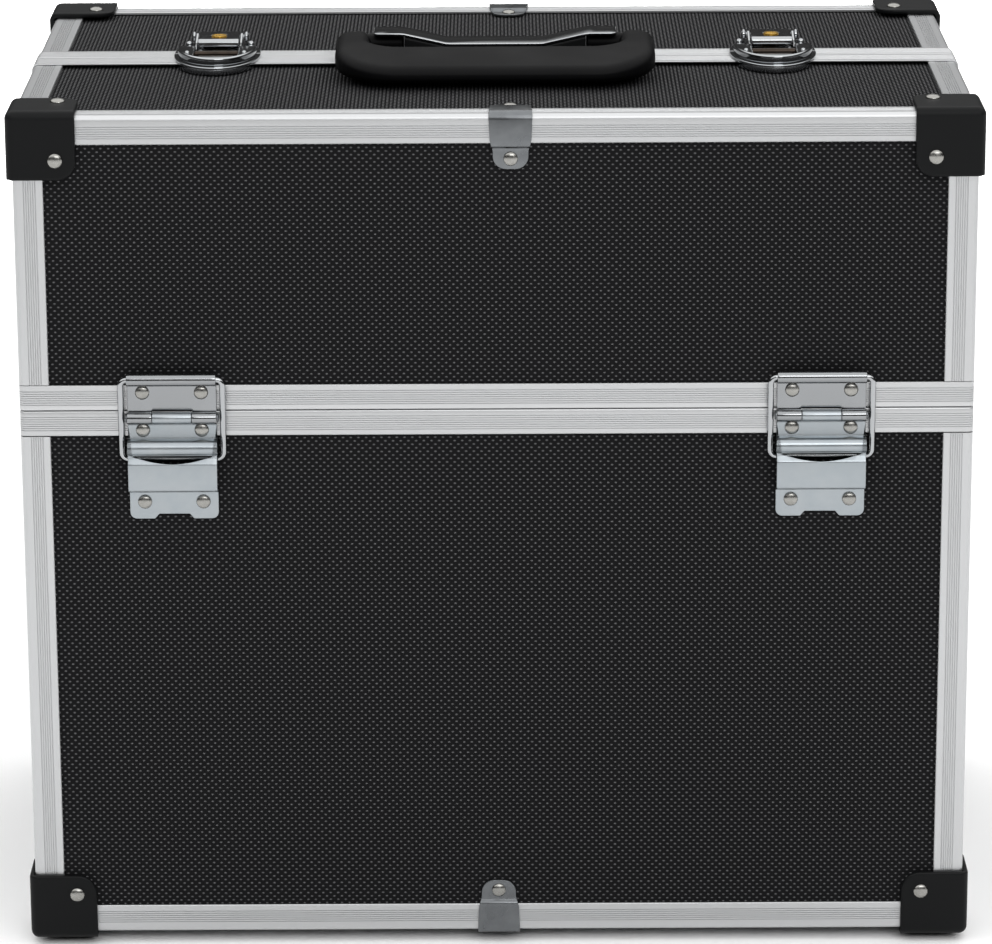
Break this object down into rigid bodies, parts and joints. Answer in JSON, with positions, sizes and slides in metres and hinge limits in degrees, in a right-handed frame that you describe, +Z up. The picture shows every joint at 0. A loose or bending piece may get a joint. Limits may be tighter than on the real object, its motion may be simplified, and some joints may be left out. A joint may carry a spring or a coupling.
{
  "type": "aluminum tool case",
  "caption": "Tall aluminium-framed tool case with two half lids that open outwards, wire-stay hinges, lift-lever locks and a folding handle.",
  "frame": {"origin": "centre of the rectangle that the feet stand on, at the feet's underside", "axes": "+X to the right seen from the front, +Y from front to rear, +Z up"},
  "size_m": [0.4588, 0.2848, 0.4268],
  "materials": {
    "aluminium": "ribbed extrusion, satin anodised",
    "panel": "black ABS skin with a moulded diamond grain",
    "moulding": "black moulded plastic",
    "steel": "plated pressed steel",
    "zinc": "blue-grey zinc plate",
    "chrome": "bright chrome plate",
    "brass": "turned brass"
  },
  "bodies": {
    "body": {"body_edge_frame": "aluminium", "body_front_edge_clip": "steel", "body_front_panel": "panel", "body_left_panel": "panel", "body_rear_edge_clip": "steel", "body_rear_panel": "panel", "body_right_panel": "panel", "body_rim_frame": "aluminium", "bottom_panel": "panel", "front_left_foot_corner": "moulding", "front_left_hinge_pin": "steel", "front_left_lower_hinge_leaf": "zinc", "front_right_foot_corner": "moulding", "front_right_hinge_pin": "steel", "front_right_lower_hinge_leaf": "zinc", "rear_left_foot_corner": "moulding", "rear_left_hinge_pin": "steel", "rear_left_lower_hinge_leaf": "zinc", "rear_right_foot_corner": "moulding", "rear_right_hinge_pin": "steel", "rear_right_lower_hinge_leaf": "zinc"},
    "front_lid": {"front_left_upper_hinge_leaf": "steel", "front_lid_edge_clip": "steel", "front_lid_edge_frame": "aluminium", "front_lid_left_corner": "moulding", "front_lid_left_panel": "panel", "front_lid_right_corner": "moulding", "front_lid_right_panel": "panel", "front_lid_rim_frame": "aluminium", "front_lid_seam_frame": "aluminium", "front_lid_top_panel": "panel", "front_lid_wall_panel": "panel", "front_right_upper_hinge_leaf": "steel", "handle_base": "moulding", "handle_strap": "chrome", "left_lock_keeper": "chrome", "right_lock_keeper": "chrome"},
    "rear_lid": {"left_lock_housing": "chrome", "rear_left_upper_hinge_leaf": "steel", "rear_lid_edge_clip": "steel", "rear_lid_edge_frame": "aluminium", "rear_lid_left_corner": "moulding", "rear_lid_left_panel": "panel", "rear_lid_right_corner": "moulding", "rear_lid_right_panel": "panel", "rear_lid_rim_frame": "aluminium", "rear_lid_seam_frame": "aluminium", "rear_lid_top_panel": "panel", "rear_lid_wall_panel": "panel", "rear_right_upper_hinge_leaf": "steel", "right_lock_housing": "chrome"},
    "handle": {"handle_grip": "moulding"},
    "front_left_bail": {"front_left_wire_bail": "chrome"},
    "front_right_bail": {"front_right_wire_bail": "chrome"},
    "left_key": {"left_key_cylinder": "brass"},
    "left_lever": {"left_lock_lever": "chrome"},
    "rear_left_bail": {"rear_left_wire_bail": "chrome"},
    "rear_right_bail": {"rear_right_wire_bail": "chrome"},
    "right_key": {"right_key_cylinder": "brass"},
    "right_lever": {"right_lock_lever": "chrome"}
  },
  "joints": [
    {"name": "front_lid_hinge", "type": "hinge", "parent": "body", "child": "front_lid", "pos_m": [0, -0.13785, 0.2665], "axis": [1, 0, 0], "range_deg": [0, 90]},
    {"name": "front_left_bail_hinge", "type": "hinge", "parent": "front_lid", "child": "front_left_bail", "pos_m": [-0.153, -0.13805, 0.2852], "axis": [1, 0, 0], "range_deg": [-61.2, 0]},
    {"name": "front_right_bail_hinge", "type": "hinge", "parent": "front_lid", "child": "front_right_bail", "pos_m": [0.153, -0.13805, 0.2852], "axis": [1, 0, 0], "range_deg": [-61.2, 0]},
    {"name": "rear_lid_hinge", "type": "hinge", "parent": "body", "child": "rear_lid", "pos_m": [0, 0.13785, 0.2665], "axis": [-1, 0, 0], "range_deg": [0, 90]},
    {"name": "rear_left_bail_hinge", "type": "hinge", "parent": "rear_lid", "child": "rear_left_bail", "pos_m": [-0.153, 0.13805, 0.2852], "axis": [-1, 0, 0], "range_deg": [-61.2, 0]},
    {"name": "rear_right_bail_hinge", "type": "hinge", "parent": "rear_lid", "child": "rear_right_bail", "pos_m": [0.153, 0.13805, 0.2852], "axis": [-1, 0, 0], "range_deg": [-61.2, 0]},
    {"name": "handle_swing", "type": "hinge", "parent": "front_lid", "child": "handle", "pos_m": [0, -0.011, 0.4204], "axis": [-1, 0, 0], "range_deg": [0, 90]},
    {"name": "left_lever_lift", "type": "hinge", "parent": "rear_lid", "child": "left_lever", "pos_m": [-0.136, 0.029, 0.4161], "axis": [-1, 0, 0], "range_deg": [0, 75]},
    {"name": "left_key_turn", "type": "hinge", "parent": "left_lever", "child": "left_key", "pos_m": [-0.136, 0.0176, 0.4192], "axis": [0, 0, 1], "range_deg": [0, 90]},
    {"name": "right_lever_lift", "type": "hinge", "parent": "rear_lid", "child": "right_lever", "pos_m": [0.136, 0.029, 0.4161], "axis": [-1, 0, 0], "range_deg": [0, 75]},
    {"name": "right_key_turn", "type": "hinge", "parent": "right_lever", "child": "right_key", "pos_m": [0.136, 0.0176, 0.4192], "axis": [0, 0, 1], "range_deg": [0, 90]}
  ],
  "couplings": [
    {"joint": "front_left_bail_hinge", "follows": "front_lid_hinge", "ratio": -0.67972},
    {"joint": "front_right_bail_hinge", "follows": "front_lid_hinge", "ratio": -0.67972},
    {"joint": "rear_left_bail_hinge", "follows": "rear_lid_hinge", "ratio": -0.67972},
    {"joint": "rear_right_bail_hinge", "follows": "rear_lid_hinge", "ratio": -0.67972}
  ]
}
